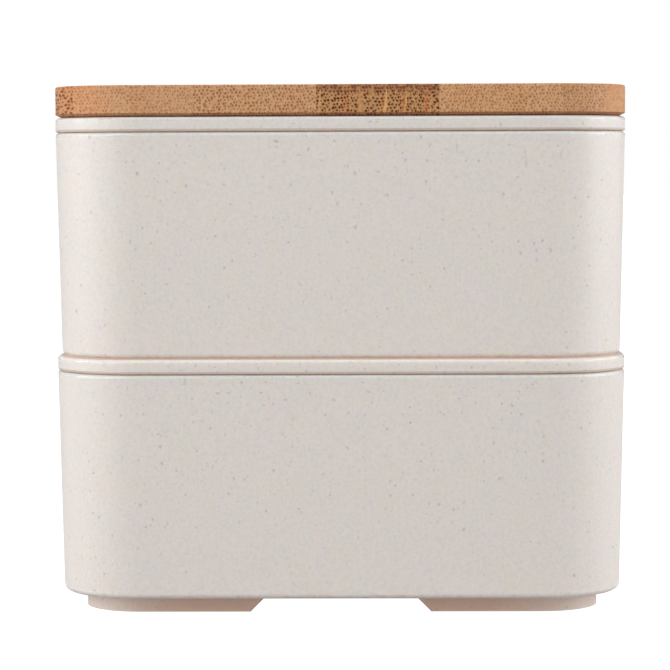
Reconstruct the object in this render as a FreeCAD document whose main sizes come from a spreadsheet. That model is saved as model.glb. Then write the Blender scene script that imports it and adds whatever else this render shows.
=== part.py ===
"""Two-tier bento lunch box with a bamboo board lid, as a parametric FreeCAD document.

Frame: millimetres, +Z up. The origin is on the surface the box stands on, under its centre.
The short side of the box runs along X, the long side along Y.

Two equal tiers stand one on the other. Each is a drafted tray with four corner feet, closed by a
plug-in lid with a silicone seal and a vent plug. The feet of the upper tier nest in the recess of
the lower lid, and the grip ring of the bamboo lid nests in the recess of the upper lid.
"""
import FreeCAD, Part
import math
import os
import re

import Sketcher
from FreeCAD import Placement, Rotation, Vector

# The driving dimensions, in millimetres and degrees: alias, value, what it is.
DIMENSIONS = [
    ("box_width", 107.8, "short side of the box, over the rims"),
    ("box_length", 186.0, "long side of the box, over the rims"),
    ("corner_radius", 16.0, "outer corner radius in plan, at the rims"),
    ("body_height", 42.1, "height of one tray, feet left out"),
    ("draft_angle", 1.2, "draft of the tray walls"),
    ("wall", 2.2, "tray wall"),
    ("floor_thickness", 2.2, "tray floor"),
    ("rim_round", 0.8, "rounding of the tray rim, outside"),
    ("mouth_round", 0.5, "rounding of the tray rim, inside"),
    ("base_round", 1.2, "rounding where the tray wall meets its underside"),
    ("floor_round", 4.0, "rounding between the tray floor and its walls"),
    ("foot_height", 3.0, "height of the corner feet"),
    ("foot_inset", 4.3, "step from the edge of the tray's underside in to the feet"),
    ("foot_thickness", 3.0, "thickness of the foot rib in plan"),
    ("foot_gap", 34.0, "opening between two feet on each side, at the ground"),
    ("rim_height", 2.7, "height of the lid's visible rim"),
    ("lid_round", 0.6, "rounding of the lid rim, top edge outside"),
    ("lid_under_round", 0.3, "rounding of the lid rim, lower edge outside"),
    ("recess_round", 0.5, "rounding of the recess mouth in the lid"),
    ("nest_clearance", 0.4, "gap all round between the feet and the recess wall"),
    ("stack_gap", 0.05, "gap between a lid rim and the tray standing in its recess"),
    ("panel", 1.6, "thickness of the lid's panel and of its plug wall"),
    ("plug_depth", 7.0, "depth of the lid's plug below the tray rim"),
    ("groove_drop", 2.4, "from the tray rim down to the top of the seal groove"),
    ("seal_height", 3.0, "height of the seal and its groove"),
    ("lip_height", 0.7, "height of each lip of the seal"),
    ("lip_margin", 0.3, "from the seal's end faces to the nearest lip"),
    ("seal_clearance", 0.1, "gap between the seal lips and the tray wall"),
    ("vent_place", 52.0, "from the middle of the box to the vent, along Y"),
    ("vent_hole", 2.0, "radius of the vent hole"),
    ("vent_clearance", 0.1, "gap between the vent plug's stem and its hole"),
    ("vent_head", 6.0, "radius of the vent plug's head"),
    ("vent_head_height", 1.2, "height of the vent plug's head"),
    ("vent_lift", 1.2, "travel of the vent plug"),
    ("vent_barb", 2.8, "radius of the barb that keeps the vent plug in"),
    ("vent_barb_height", 1.5, "height of the barb"),
    ("board_thickness", 5.85, "thickness of the bamboo board"),
    ("board_chamfer", 0.65, "height of the chamfer round the board's lower edge"),
    ("board_undercut", 1.2, "how far in that chamfer goes at the underside"),
    ("board_round", 0.4, "rounding of the board's top edge"),
    ("stave_width", 22.6, "width of one full bamboo stave"),
    ("first_joint", 4.6, "width of the first, cut stave"),
    ("grip_width", 2.4, "thickness of the grip ring in plan"),
    ("grip_seat", 2.0, "depth of the grip ring's groove in the board"),
    ("grip_drop", 2.2, "height of the grip ring below the board"),
    ("grip_round", 0.5, "rounding of the grip ring's lower edges"),
    ("grip_clearance", 0.15, "gap between the grip ring and the recess wall"),
    ("divider_thickness", 1.8, "thickness of the divider wall"),
    ("divider_side_gap", 0.35, "gap between the divider and the tray walls"),
    ("divider_foot", 12.0, "width of the divider's foot, along Y"),
    ("divider_foot_height", 1.4, "thickness of the divider's foot"),
    ("divider_top_gap", 0.6, "gap between the divider and the lid's plug"),
]
STAVES = 6  # five glue joints across the board

# Levels and half sizes that several pieces share, written with the aliases above.
RIM_LEVEL = "foot_height + body_height"
NARROWING = "body_height * tan(draft_angle)"
STACK_PITCH = "body_height + rim_height + stack_gap"
RECESS_DEPTH = "foot_height - stack_gap"
FOOT_SETBACK = f"({NARROWING} + foot_inset)"
RECESS_SETBACK = f"({FOOT_SETBACK} - nest_clearance)"
PLUG_SETBACK = f"({RECESS_SETBACK} - panel)"
CAVITY_SETBACK = f"({RECESS_SETBACK} + panel)"

doc = FreeCAD.newDocument("bento_lunch_box")
sheet = doc.addObject("Spreadsheet::Sheet", "Dimensions")
for row, (alias, size, meaning) in enumerate(DIMENSIONS, start=1):
    sheet.set(f"A{row}", alias)
    sheet.set(f"B{row}", str(size))
    sheet.setAlias(f"B{row}", alias)
    sheet.set(f"C{row}", meaning)
doc.recompute()
ALIASES = {alias for alias, _, _ in DIMENSIONS}


def formula(text):
    """An expression on the sheet, from one written with bare aliases. Angles become degrees."""
    text = re.sub(r"\bdraft_angle\b", "(draft_angle * 1 deg)", text)
    return re.sub(r"[a-z_]+", lambda w: f"Dimensions.{w[0]}" if w[0] in ALIASES else w[0], text)


def bind(target, prop, text):
    target.setExpression(prop, formula(text))


def origin_plane(body, role):
    return next(feature for feature in body.Origin.OriginFeatures if feature.Role == role)


def new_body(name):
    body = doc.addObject("PartDesign::Body", name)
    body.Label = name
    return body


def new_sketch(body, name, role="XY_Plane", level="0"):
    """A sketch on one of the body's origin planes, moved off it by level."""
    sketch = body.newObject("Sketcher::SketchObject", name)
    sketch.AttachmentSupport = [(origin_plane(body, role), "")]
    sketch.MapMode = "FlatFace"
    bind(sketch, "AttachmentOffset.Base.z", level)
    return sketch


def add_dimension(sketch, name, constraint, text):
    index = sketch.addConstraint(constraint)
    sketch.renameConstraint(index, name)
    bind(sketch, f"Constraints.{name}", text)


def draw_rounded_rectangle(sketch, name, setback):
    """A closed outline like the rim's, drawn smaller by setback on every side, corners included."""
    x, y, r = 50.0, 80.0, 10.0  # rough sizes that the constraints then replace
    corners = [(x - r, y - r, 0.0), (r - x, y - r, 90.0), (r - x, r - y, 180.0), (x - r, r - y, 270.0)]
    ends = [
        ((x - r, y), (r - x, y)),
        ((-x, y - r), (-x, r - y)),
        ((r - x, -y), (x - r, -y)),
        ((x, r - y), (x, y - r)),
    ]
    up = Vector(0, 0, 1)
    arcs = []
    for cx, cy, start in corners:
        circle = Part.Circle(Vector(cx, cy, 0), up, r)
        sweep = (math.radians(start), math.radians(start + 90.0))
        arcs.append(sketch.addGeometry(Part.ArcOfCircle(circle, *sweep)))
    lines = [
        sketch.addGeometry(Part.LineSegment(Vector(*a, 0), Vector(*b, 0))) for a, b in ends
    ]
    for k in range(4):
        sketch.addConstraint(Sketcher.Constraint("Tangent", arcs[k], 2, lines[k], 1))
        sketch.addConstraint(Sketcher.Constraint("Tangent", lines[k], 2, arcs[(k + 1) % 4], 1))
    for k in range(3):
        sketch.addConstraint(Sketcher.Constraint("Equal", arcs[k], arcs[k + 1]))
    for k, way in enumerate(("Horizontal", "Vertical", "Horizontal", "Vertical")):
        sketch.addConstraint(Sketcher.Constraint(way, lines[k]))
    sketch.addConstraint(Sketcher.Constraint("Symmetric", arcs[0], 3, arcs[2], 3, -1, 1))
    width = Sketcher.Constraint("DistanceX", lines[1], 1, lines[3], 1, 2 * x)
    length = Sketcher.Constraint("DistanceY", lines[2], 1, lines[0], 1, 2 * y)
    radius = Sketcher.Constraint("Radius", arcs[0], r)
    add_dimension(sketch, f"{name}_width", width, f"box_width - 2 * ({setback})")
    add_dimension(sketch, f"{name}_length", length, f"box_length - 2 * ({setback})")
    add_dimension(sketch, f"{name}_radius", radius, f"corner_radius - ({setback})")


def outline_sketch(body, name, level, setback, inner_setback=None):
    """A sketch of one rounded outline, or of the ring between two."""
    sketch = new_sketch(body, name, level=level)
    draw_rounded_rectangle(sketch, "outer", setback)
    if inner_setback is not None:
        draw_rounded_rectangle(sketch, "inner", inner_setback)
    return sketch


def extrude(body, kind, name, sketch, depth, down=False, taper=None):
    """A Pad or a Pocket of the sketch, upwards or down; taper is an angle that closes it in."""
    feature = body.newObject(f"PartDesign::{kind}", name)
    feature.Profile = sketch
    feature.UseCustomVector = True
    feature.Direction = Vector(0, 0, -1 if down else 1)
    bind(feature, "Length", depth)
    if taper:
        bind(feature, "TaperAngle", f"-{taper}")
    doc.recompute()
    return feature


def edges_at(shape, level, outline=None):
    """Names of the shape's edges that lie at one level, on the outline of a sketch if one is given."""
    names = []
    for number, edge in enumerate(shape.Edges, start=1):
        box = edge.BoundBox
        if abs(box.ZMin - level) > 1e-4 or abs(box.ZMax - level) > 1e-4:
            continue
        middle = edge.valueAt((edge.FirstParameter + edge.LastParameter) / 2)
        if outline is None or on_outline(middle, outline):
            names.append(f"Edge{number}")
    return names


def on_outline(point, sketch):
    radius = sketch.getDatum("outer_radius").Value
    dx = abs(point.x) - (sketch.getDatum("outer_width").Value / 2 - radius)
    dy = abs(point.y) - (sketch.getDatum("outer_length").Value / 2 - radius)
    outside = math.hypot(max(dx, 0.0), max(dy, 0.0)) + min(max(dx, dy), 0.0)
    return abs(outside - radius) < 1e-3


def dress(body, kind, name, edges, size, other_size=None):
    """A Fillet or a Chamfer on edges of the body's last feature. other_size makes a chamfer uneven."""
    base = body.Tip
    if not edges:
        raise ValueError(f"{name} found no edge")
    feature = body.newObject(f"PartDesign::{kind}", name)
    feature.Base = (base, edges)
    bind(feature, "Radius" if kind == "Fillet" else "Size", size)
    if other_size:
        feature.ChamferType = "Two distances"
        bind(feature, "Size2", other_size)
    doc.recompute()
    return feature


def level_of(sketch):
    return sketch.Placement.Base.z


# ---------------------------------------------------------------- trays


def make_tray(name, base):
    """One tray: a drafted shell with rounded edges, on four corner feet. base is its lowest level."""
    body = new_body(name)
    top = f"{base} + {RIM_LEVEL}"
    rim = outline_sketch(body, f"{name}_rim_outline", top, "0")
    shell = extrude(body, "Pad", f"{name}_shell", rim, "body_height", down=True, taper="draft_angle")
    rim_level, underside = level_of(rim), shell.Shape.BoundBox.ZMin
    dress(body, "Fillet", f"{name}_rim_round", edges_at(body.Tip.Shape, rim_level), "rim_round")
    dress(body, "Fillet", f"{name}_base_round", edges_at(body.Tip.Shape, underside), "base_round")
    hollow_tray(body, name, top, rim_level)
    add_feet(body, name, base)
    return body


def hollow_tray(body, name, top, rim_level):
    mouth = outline_sketch(body, f"{name}_mouth_outline", top, "wall")
    depth = "body_height - floor_thickness"
    hollow = extrude(body, "Pocket", f"{name}_hollow", mouth, depth, down=True, taper="draft_angle")
    floor = rim_level - hollow.Length.Value
    dress(body, "Fillet", f"{name}_floor_round", edges_at(body.Tip.Shape, floor), "floor_round")
    rim_edges = edges_at(body.Tip.Shape, rim_level, mouth)
    dress(body, "Fillet", f"{name}_mouth_round", rim_edges, "mouth_round")


def add_feet(body, name, base):
    """A foot rib under the tray, opened on all four sides by channels with sides at 45 degrees."""
    inner = f"{FOOT_SETBACK} + foot_thickness"
    ring = outline_sketch(body, f"{name}_foot_outline", base, FOOT_SETBACK, inner)
    extrude(body, "Pad", f"{name}_foot_rib", ring, "foot_height")
    for side, role in (("end", "XZ_Plane"), ("long", "YZ_Plane")):
        gap = new_sketch(body, f"{name}_{side}_gap", role)
        draw_gap(gap, base)
        channel = body.newObject("PartDesign::Pocket", f"{name}_{side}_channel")
        channel.Profile = gap
        channel.Midplane = True
        bind(channel, "Length", "2 * box_length")
        doc.recompute()


def draw_gap(sketch, base):
    """The section of a channel between two feet: foot_gap wide at the ground and narrower above.

    It reaches as far below the ground as the feet are high, so that it cuts their soles cleanly.
    """
    half, height = 20.0, 3.0  # rough sizes that the constraints then replace
    points = [(-half, -height), (half, -height), (half - 2 * height, height)]
    points += [(2 * height - half, height)]
    lines = []
    for k, (x, z) in enumerate(points):
        x2, z2 = points[(k + 1) % 4]
        line = Part.LineSegment(Vector(x, z, 0), Vector(x2, z2, 0))
        lines.append(sketch.addGeometry(line))
    for k in range(4):
        sketch.addConstraint(Sketcher.Constraint("Coincident", lines[k], 2, lines[(k + 1) % 4], 1))
    sketch.addConstraint(Sketcher.Constraint("Symmetric", lines[0], 1, lines[0], 2, -2))
    sketch.addConstraint(Sketcher.Constraint("Symmetric", lines[2], 1, lines[2], 2, -2))
    bottom = Sketcher.Constraint("Distance", lines[0], 2 * half)
    roof = Sketcher.Constraint("Distance", lines[2], 2 * (half - 2 * height))
    drop = Sketcher.Constraint("DistanceY", lines[0], 2, -1, 1, height)
    rise = Sketcher.Constraint("DistanceY", -1, 1, lines[1], 2, height)
    add_dimension(sketch, "bottom", bottom, "foot_gap + 2 * foot_height")
    add_dimension(sketch, "roof", roof, "foot_gap - 2 * foot_height")
    add_dimension(sketch, "drop", drop, "foot_height")
    add_dimension(sketch, "rise", rise, "foot_height")
    bind(sketch, "AttachmentOffset.Base.y", base)


# ---------------------------------------------------------------- lids


def make_lid(name, rim):
    """A plug-in lid whose rim stands on the tray rim at level rim."""
    body = new_body(name)
    under = outline_sketch(body, f"{name}_rim_outline", rim, "0")
    extrude(body, "Pad", f"{name}_rim", under, "rim_height")
    low, high = level_of(under), body.Tip.Shape.BoundBox.ZMax
    dress(body, "Fillet", f"{name}_top_round", edges_at(body.Tip.Shape, high), "lid_round")
    dress(body, "Fillet", f"{name}_under_round", edges_at(body.Tip.Shape, low), "lid_under_round")
    add_plug(body, name, rim)
    cut_recess(body, name, f"{rim} + rim_height", high)
    cut_seal_groove(body, name, rim)
    hole = new_sketch(body, f"{name}_vent_outline", level=f"{rim} - plug_depth")
    draw_vent_circle(hole, "vent_hole")
    extrude(body, "Pocket", f"{name}_vent_hole", hole, "plug_depth + rim_height")
    return body


def add_plug(body, name, rim):
    """The part of the lid that goes into the tray: a block, then hollowed out up to the panel."""
    foot = f"{rim} - plug_depth"
    plug = outline_sketch(body, f"{name}_plug_outline", foot, PLUG_SETBACK)
    extrude(body, "Pad", f"{name}_plug", plug, "plug_depth")
    lead_in = edges_at(body.Tip.Shape, level_of(plug))
    dress(body, "Chamfer", f"{name}_lead_in", lead_in, "mouth_round")
    cavity = outline_sketch(body, f"{name}_cavity_outline", foot, CAVITY_SETBACK)
    depth = f"plug_depth + rim_height - ({RECESS_DEPTH}) - panel"
    extrude(body, "Pocket", f"{name}_cavity", cavity, depth)


def cut_recess(body, name, top, top_level):
    """The recess that takes the feet of the tray above."""
    recess = outline_sketch(body, f"{name}_recess_outline", top, RECESS_SETBACK)
    extrude(body, "Pocket", f"{name}_recess", recess, RECESS_DEPTH, down=True)
    mouth_edges = edges_at(body.Tip.Shape, top_level, recess)
    dress(body, "Fillet", f"{name}_recess_round", mouth_edges, "recess_round")


def cut_seal_groove(body, name, rim):
    foot = f"{rim} - groove_drop - seal_height"
    groove = outline_sketch(body, f"{name}_groove_outline", foot, "0", RECESS_SETBACK)
    extrude(body, "Pocket", f"{name}_groove", groove, "seal_height")


def draw_vent_circle(sketch, radius):
    ring = sketch.addGeometry(Part.Circle(Vector(0, 50, 0), Vector(0, 0, 1), 2.0))
    sketch.addConstraint(Sketcher.Constraint("PointOnObject", ring, 3, -2))
    place = Sketcher.Constraint("DistanceY", -1, 1, ring, 3, 50.0)
    add_dimension(sketch, "place", place, "vent_place")
    add_dimension(sketch, "radius", Sketcher.Constraint("Radius", ring, 2.0), radius)


def make_seal(name, rim):
    """The silicone ring in the plug's groove, with two lips that reach for the tray wall."""
    body = new_body(name)
    foot = f"{rim} - groove_drop - seal_height"
    core = outline_sketch(body, f"{name}_core_outline", foot, PLUG_SETBACK, RECESS_SETBACK)
    extrude(body, "Pad", f"{name}_core", core, "seal_height")
    reach = "wall + (groove_drop + seal_height) * tan(draft_angle) + seal_clearance"
    lips = ((1, "lip_margin"), (2, "seal_height - lip_margin - lip_height"))
    for number, rise in lips:
        level = f"{foot} + {rise}"
        lip = outline_sketch(body, f"{name}_lip_{number}_outline", level, reach, RECESS_SETBACK)
        extrude(body, "Pad", f"{name}_lip_{number}", lip, "lip_height")
    return body


def make_vent_plug(name, rim):
    """A silicone plug: a domed head on the panel, a stem through the hole and a barb below."""
    body = new_body(name)
    seat = f"({rim} + rim_height - ({RECESS_DEPTH}))"
    section = new_sketch(body, f"{name}_section", "YZ_Plane")
    bind(section, "AttachmentOffset.Base.x", "vent_place")
    bind(section, "AttachmentOffset.Base.y", seat)
    draw_plug_section(section)
    turned = body.newObject("PartDesign::Revolution", f"{name}_turned")
    turned.Profile = section
    turned.ReferenceAxis = (section, ["V_Axis"])
    turned.Angle = 360.0
    doc.recompute()
    rounded = edges_at(body.Tip.Shape, body.Tip.Shape.BoundBox.ZMax)
    dress(body, "Fillet", f"{name}_dome", rounded, "vent_head_height / 2")
    return body


def draw_plug_section(sketch):
    """Half the plug's section, from its axis out; height 0 is the face of the panel."""
    head, stem, barb = 6.0, 1.9, 2.8  # rough sizes that the constraints then replace
    rise, drop, tip = 1.2, -2.8, -4.3
    points = [(0, rise), (head, rise), (head, 0), (stem, 0), (stem, drop), (barb, drop)]
    points += [(stem, tip), (0, tip)]
    count = len(points)
    lines = []
    for k, (x, z) in enumerate(points):
        x2, z2 = points[(k + 1) % count]
        line = Part.LineSegment(Vector(x, z, 0), Vector(x2, z2, 0))
        lines.append(sketch.addGeometry(line))
    for k in range(count):
        joined = Sketcher.Constraint("Coincident", lines[k], 2, lines[(k + 1) % count], 1)
        sketch.addConstraint(joined)
    for k in (0, 2, 4, 6):
        sketch.addConstraint(Sketcher.Constraint("Horizontal", lines[k]))
    for k in (1, 3):
        sketch.addConstraint(Sketcher.Constraint("Vertical", lines[k]))
    sketch.addConstraint(Sketcher.Constraint("PointOnObject", lines[0], 1, -2))
    sketch.addConstraint(Sketcher.Constraint("PointOnObject", lines[6], 2, -2))
    sketch.addConstraint(Sketcher.Constraint("PointOnObject", lines[2], 1, -1))
    stem_radius = "vent_hole - vent_clearance"
    across = (
        ("head", lines[0], 2, "vent_head"),
        ("stem", lines[3], 1, stem_radius),
        ("barb", lines[4], 2, "vent_barb"),
        ("tip", lines[6], 1, stem_radius),
    )
    for name, line, end, text in across:
        add_dimension(sketch, name, Sketcher.Constraint("DistanceX", -1, 1, line, end, 2.0), text)
    head_rise = Sketcher.Constraint("DistanceY", -1, 1, lines[0], 2, rise)
    stem_drop = Sketcher.Constraint("DistanceY", lines[3], 2, lines[3], 1, -drop)
    barb_drop = Sketcher.Constraint("DistanceY", lines[5], 2, lines[5], 1, drop - tip)
    add_dimension(sketch, "head_rise", head_rise, "vent_head_height")
    add_dimension(sketch, "stem_drop", stem_drop, "panel + vent_lift")
    add_dimension(sketch, "barb_drop", barb_drop, "vent_barb_height")


# ---------------------------------------------------------------- bamboo lid


def make_board(underside):
    """The whole bamboo board, glued up, profiled and grooved, before it is parted into staves."""
    body = new_body("board_blank")
    edge = outline_sketch(body, "board_outline", underside, "0")
    extrude(body, "Pad", "board_plank", edge, "board_thickness")
    low, high = level_of(edge), body.Tip.Shape.BoundBox.ZMax
    low_edges = edges_at(body.Tip.Shape, low)
    dress(body, "Chamfer", "board_chamfer", low_edges, "board_chamfer", "board_undercut")
    dress(body, "Fillet", "board_round", edges_at(body.Tip.Shape, high), "board_round")
    setback = f"{RECESS_SETBACK} + grip_clearance"
    seat = outline_sketch(body, "board_seat_outline", underside, setback, f"{setback} + grip_width")
    extrude(body, "Pocket", "board_seat", seat, "grip_seat")
    return body


def make_staves(board, underside):
    """The board's staves, from the left: full ones between two that are cut at the board's edges."""
    staves = []
    for number in range(1, STAVES + 1):
        name = f"lid_stave_{number}"
        slab = doc.addObject("Part::Box", f"{name}_slab")
        joint = f"first_joint + {number - 2} * stave_width - box_width / 2"
        if number == 1:
            bind(slab, "Placement.Base.x", "-box_width")
            bind(slab, "Length", "first_joint + box_width / 2")
        elif number == STAVES:
            bind(slab, "Placement.Base.x", joint)
            bind(slab, "Length", "box_width")
        else:
            bind(slab, "Placement.Base.x", joint)
            bind(slab, "Length", "stave_width")
        bind(slab, "Placement.Base.y", "-box_length")
        bind(slab, "Placement.Base.z", f"{underside} - board_thickness")
        bind(slab, "Width", "2 * box_length")
        bind(slab, "Height", "3 * board_thickness")
        stave = doc.addObject("Part::Common", name)
        stave.Base = board
        stave.Tool = slab
        stave.Label = name
        staves.append(stave)
    doc.recompute()
    return staves


def make_grip_ring(underside):
    """The silicone ring in the board's groove, which holds the lid in the recess below it."""
    body = new_body("bamboo_lid_grip_ring")
    setback = f"{RECESS_SETBACK} + grip_clearance"
    foot = f"{underside} - grip_drop"
    ring = outline_sketch(body, "grip_ring_outline", foot, setback, f"{setback} + grip_width")
    extrude(body, "Pad", "grip_ring_band", ring, "grip_drop + grip_seat")
    foot_edges = edges_at(body.Tip.Shape, level_of(ring))
    dress(body, "Fillet", "grip_ring_round", foot_edges, "grip_round")
    return body


# ---------------------------------------------------------------- divider


def make_divider():
    """A wall on a flat foot that parts the lower tray and slides along it."""
    body = new_body("divider")
    section = new_sketch(body, "divider_section", "XZ_Plane")
    draw_divider_section(section)
    bind(section, "AttachmentOffset.Base.y", "foot_height + floor_thickness")
    wall = body.newObject("PartDesign::Pad", "divider_wall")
    wall.Profile = section
    wall.Midplane = True
    bind(wall, "Length", "divider_thickness")
    doc.recompute()
    foot = new_sketch(body, "divider_foot_outline", level="foot_height + floor_thickness")
    draw_divider_foot(foot)
    extrude(body, "Pad", "divider_foot_plate", foot, "divider_foot_height")
    top_edges = []
    for number, edge in enumerate(body.Tip.Shape.Edges, start=1):
        at_top = abs(edge.BoundBox.ZMin - body.Tip.Shape.BoundBox.ZMax) < 1e-4
        if at_top and edge.BoundBox.YLength < 1e-4:
            top_edges.append(f"Edge{number}")
    dress(body, "Fillet", "divider_top_round", top_edges, "0.4 * divider_thickness")
    return body


def draw_divider_section(sketch):
    """The divider seen along Y: drafted sides like the tray's, lower corners cut for its rounding."""
    half_low, half_high, tall, cut = 50.0, 51.0, 32.0, 4.0  # rough sizes, replaced below
    points = [(cut - half_low, 0), (half_low - cut, 0), (half_low, cut), (half_high, tall)]
    points += [(-half_high, tall), (-half_low, cut)]
    lines = []
    for k, (x, z) in enumerate(points):
        x2, z2 = points[(k + 1) % 6]
        line = Part.LineSegment(Vector(x, z, 0), Vector(x2, z2, 0))
        lines.append(sketch.addGeometry(line))
    for k in range(6):
        sketch.addConstraint(Sketcher.Constraint("Coincident", lines[k], 2, lines[(k + 1) % 6], 1))
    for k, end in ((0, (1, 2)), (3, (1, 2))):
        sketch.addConstraint(Sketcher.Constraint("Symmetric", lines[k], end[0], lines[k], end[1], -2))
    sketch.addConstraint(Sketcher.Constraint("Symmetric", lines[1], 2, lines[4], 2, -2))
    sketch.addConstraint(Sketcher.Constraint("PointOnObject", lines[0], 1, -1))
    depth = "(body_height - floor_thickness)"
    tall_text = f"{depth} - plug_depth - divider_top_gap"
    side = "box_width / 2 - wall - divider_side_gap"
    low = f"{side} - ({depth} - floor_round) * tan(draft_angle)"
    high = f"{side} - (plug_depth + divider_top_gap) * tan(draft_angle)"
    sizes = (
        ("flat", Sketcher.Constraint("DistanceX", -1, 1, lines[0], 2, 46.0), f"{low} - floor_round"),
        ("low", Sketcher.Constraint("DistanceX", -1, 1, lines[1], 2, 50.0), low),
        ("high", Sketcher.Constraint("DistanceX", -1, 1, lines[2], 2, 51.0), high),
        ("cut", Sketcher.Constraint("DistanceY", -1, 1, lines[1], 2, 4.0), "floor_round"),
        ("tall", Sketcher.Constraint("DistanceY", -1, 1, lines[2], 2, 32.0), tall_text),
    )
    for name, constraint, text in sizes:
        add_dimension(sketch, name, constraint, text)


def draw_divider_foot(sketch):
    x, y = 44.0, 6.0  # rough sizes that the constraints then replace
    points = [(-x, -y), (x, -y), (x, y), (-x, y)]
    lines = []
    for k, (x1, y1) in enumerate(points):
        x2, y2 = points[(k + 1) % 4]
        line = Part.LineSegment(Vector(x1, y1, 0), Vector(x2, y2, 0))
        lines.append(sketch.addGeometry(line))
    for k in range(4):
        sketch.addConstraint(Sketcher.Constraint("Coincident", lines[k], 2, lines[(k + 1) % 4], 1))
    for k, way in enumerate(("Horizontal", "Vertical", "Horizontal", "Vertical")):
        sketch.addConstraint(Sketcher.Constraint(way, lines[k]))
    sketch.addConstraint(Sketcher.Constraint("Symmetric", lines[0], 1, lines[1], 2, -1, 1))
    floor_half = f"box_width / 2 - wall - {NARROWING} - floor_round - divider_side_gap"
    across = Sketcher.Constraint("Distance", lines[0], 2 * x)
    along = Sketcher.Constraint("Distance", lines[1], 2 * y)
    add_dimension(sketch, "across", across, f"2 * ({floor_half})")
    add_dimension(sketch, "along", along, "divider_foot")


# ---------------------------------------------------------------- assembly

LOWER_RIM = f"({RIM_LEVEL})"
UPPER_BASE = f"({STACK_PITCH})"
UPPER_RIM = f"({STACK_PITCH} + {RIM_LEVEL})"
BOARD_UNDERSIDE = f"({UPPER_RIM} + rim_height)"

pieces = [
    make_tray("lower_container", "0"),
    make_lid("lower_lid", LOWER_RIM),
    make_seal("lower_lid_seal", LOWER_RIM),
    make_vent_plug("lower_lid_vent_plug", LOWER_RIM),
    make_divider(),
    make_tray("upper_container", UPPER_BASE),
    make_lid("upper_lid", UPPER_RIM),
    make_seal("upper_lid_seal", UPPER_RIM),
    make_vent_plug("upper_lid_vent_plug", UPPER_RIM),
    make_grip_ring(BOARD_UNDERSIDE),
]
pieces += make_staves(make_board(BOARD_UNDERSIDE), BOARD_UNDERSIDE)
doc.recompute()

for item in doc.Objects:
    if "Invalid" in item.State or "Error" in item.State:
        raise RuntimeError(f"{item.Name} did not build: {item.State}")
os.makedirs("parts", exist_ok=True)
for piece in pieces:
    shape = piece.Shape
    if shape.isNull() or not shape.isValid() or not shape.Solids:
        raise RuntimeError(f"{piece.Label} has no valid solid")
    shape.exportStep(f"parts/{piece.Label}.step")
    print(piece.Label, len(shape.Solids), "solid", round(shape.Volume), "mm3")
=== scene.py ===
"""The looks of a two-tier bento lunch box: speckled cream trays and lids, and a bamboo board."""
import math

import bpy
from mathutils import Matrix, Vector


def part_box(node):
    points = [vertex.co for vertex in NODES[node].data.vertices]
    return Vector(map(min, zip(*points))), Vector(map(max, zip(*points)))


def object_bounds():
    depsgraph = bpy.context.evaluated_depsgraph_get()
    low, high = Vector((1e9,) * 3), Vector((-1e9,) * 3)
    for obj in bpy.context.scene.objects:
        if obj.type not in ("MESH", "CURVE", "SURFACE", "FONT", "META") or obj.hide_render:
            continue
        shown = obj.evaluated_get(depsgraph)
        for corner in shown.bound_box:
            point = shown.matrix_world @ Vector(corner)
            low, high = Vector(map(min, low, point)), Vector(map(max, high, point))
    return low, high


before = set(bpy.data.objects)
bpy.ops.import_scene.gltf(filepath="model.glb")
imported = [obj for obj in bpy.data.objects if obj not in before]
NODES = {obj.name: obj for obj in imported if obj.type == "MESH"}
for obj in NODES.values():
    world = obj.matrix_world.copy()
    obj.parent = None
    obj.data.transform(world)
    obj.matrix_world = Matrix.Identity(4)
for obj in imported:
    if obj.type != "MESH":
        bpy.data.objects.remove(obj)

CAD_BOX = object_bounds()
LOW, HIGH = (Vector(corner) for corner in CAD_BOX)
MM = 0.001


def linear(red, green, blue):
    """A colour as a paint chart gives it, 0 to 255, in the light values that shaders use."""
    out = []
    for level in (red / 255, green / 255, blue / 255):
        out.append(level / 12.92 if level <= 0.04045 else ((level + 0.055) / 1.055) ** 2.4)
    return (*out, 1.0)


# ---------------------------------------------------------------- wiring of shader nodes


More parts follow.
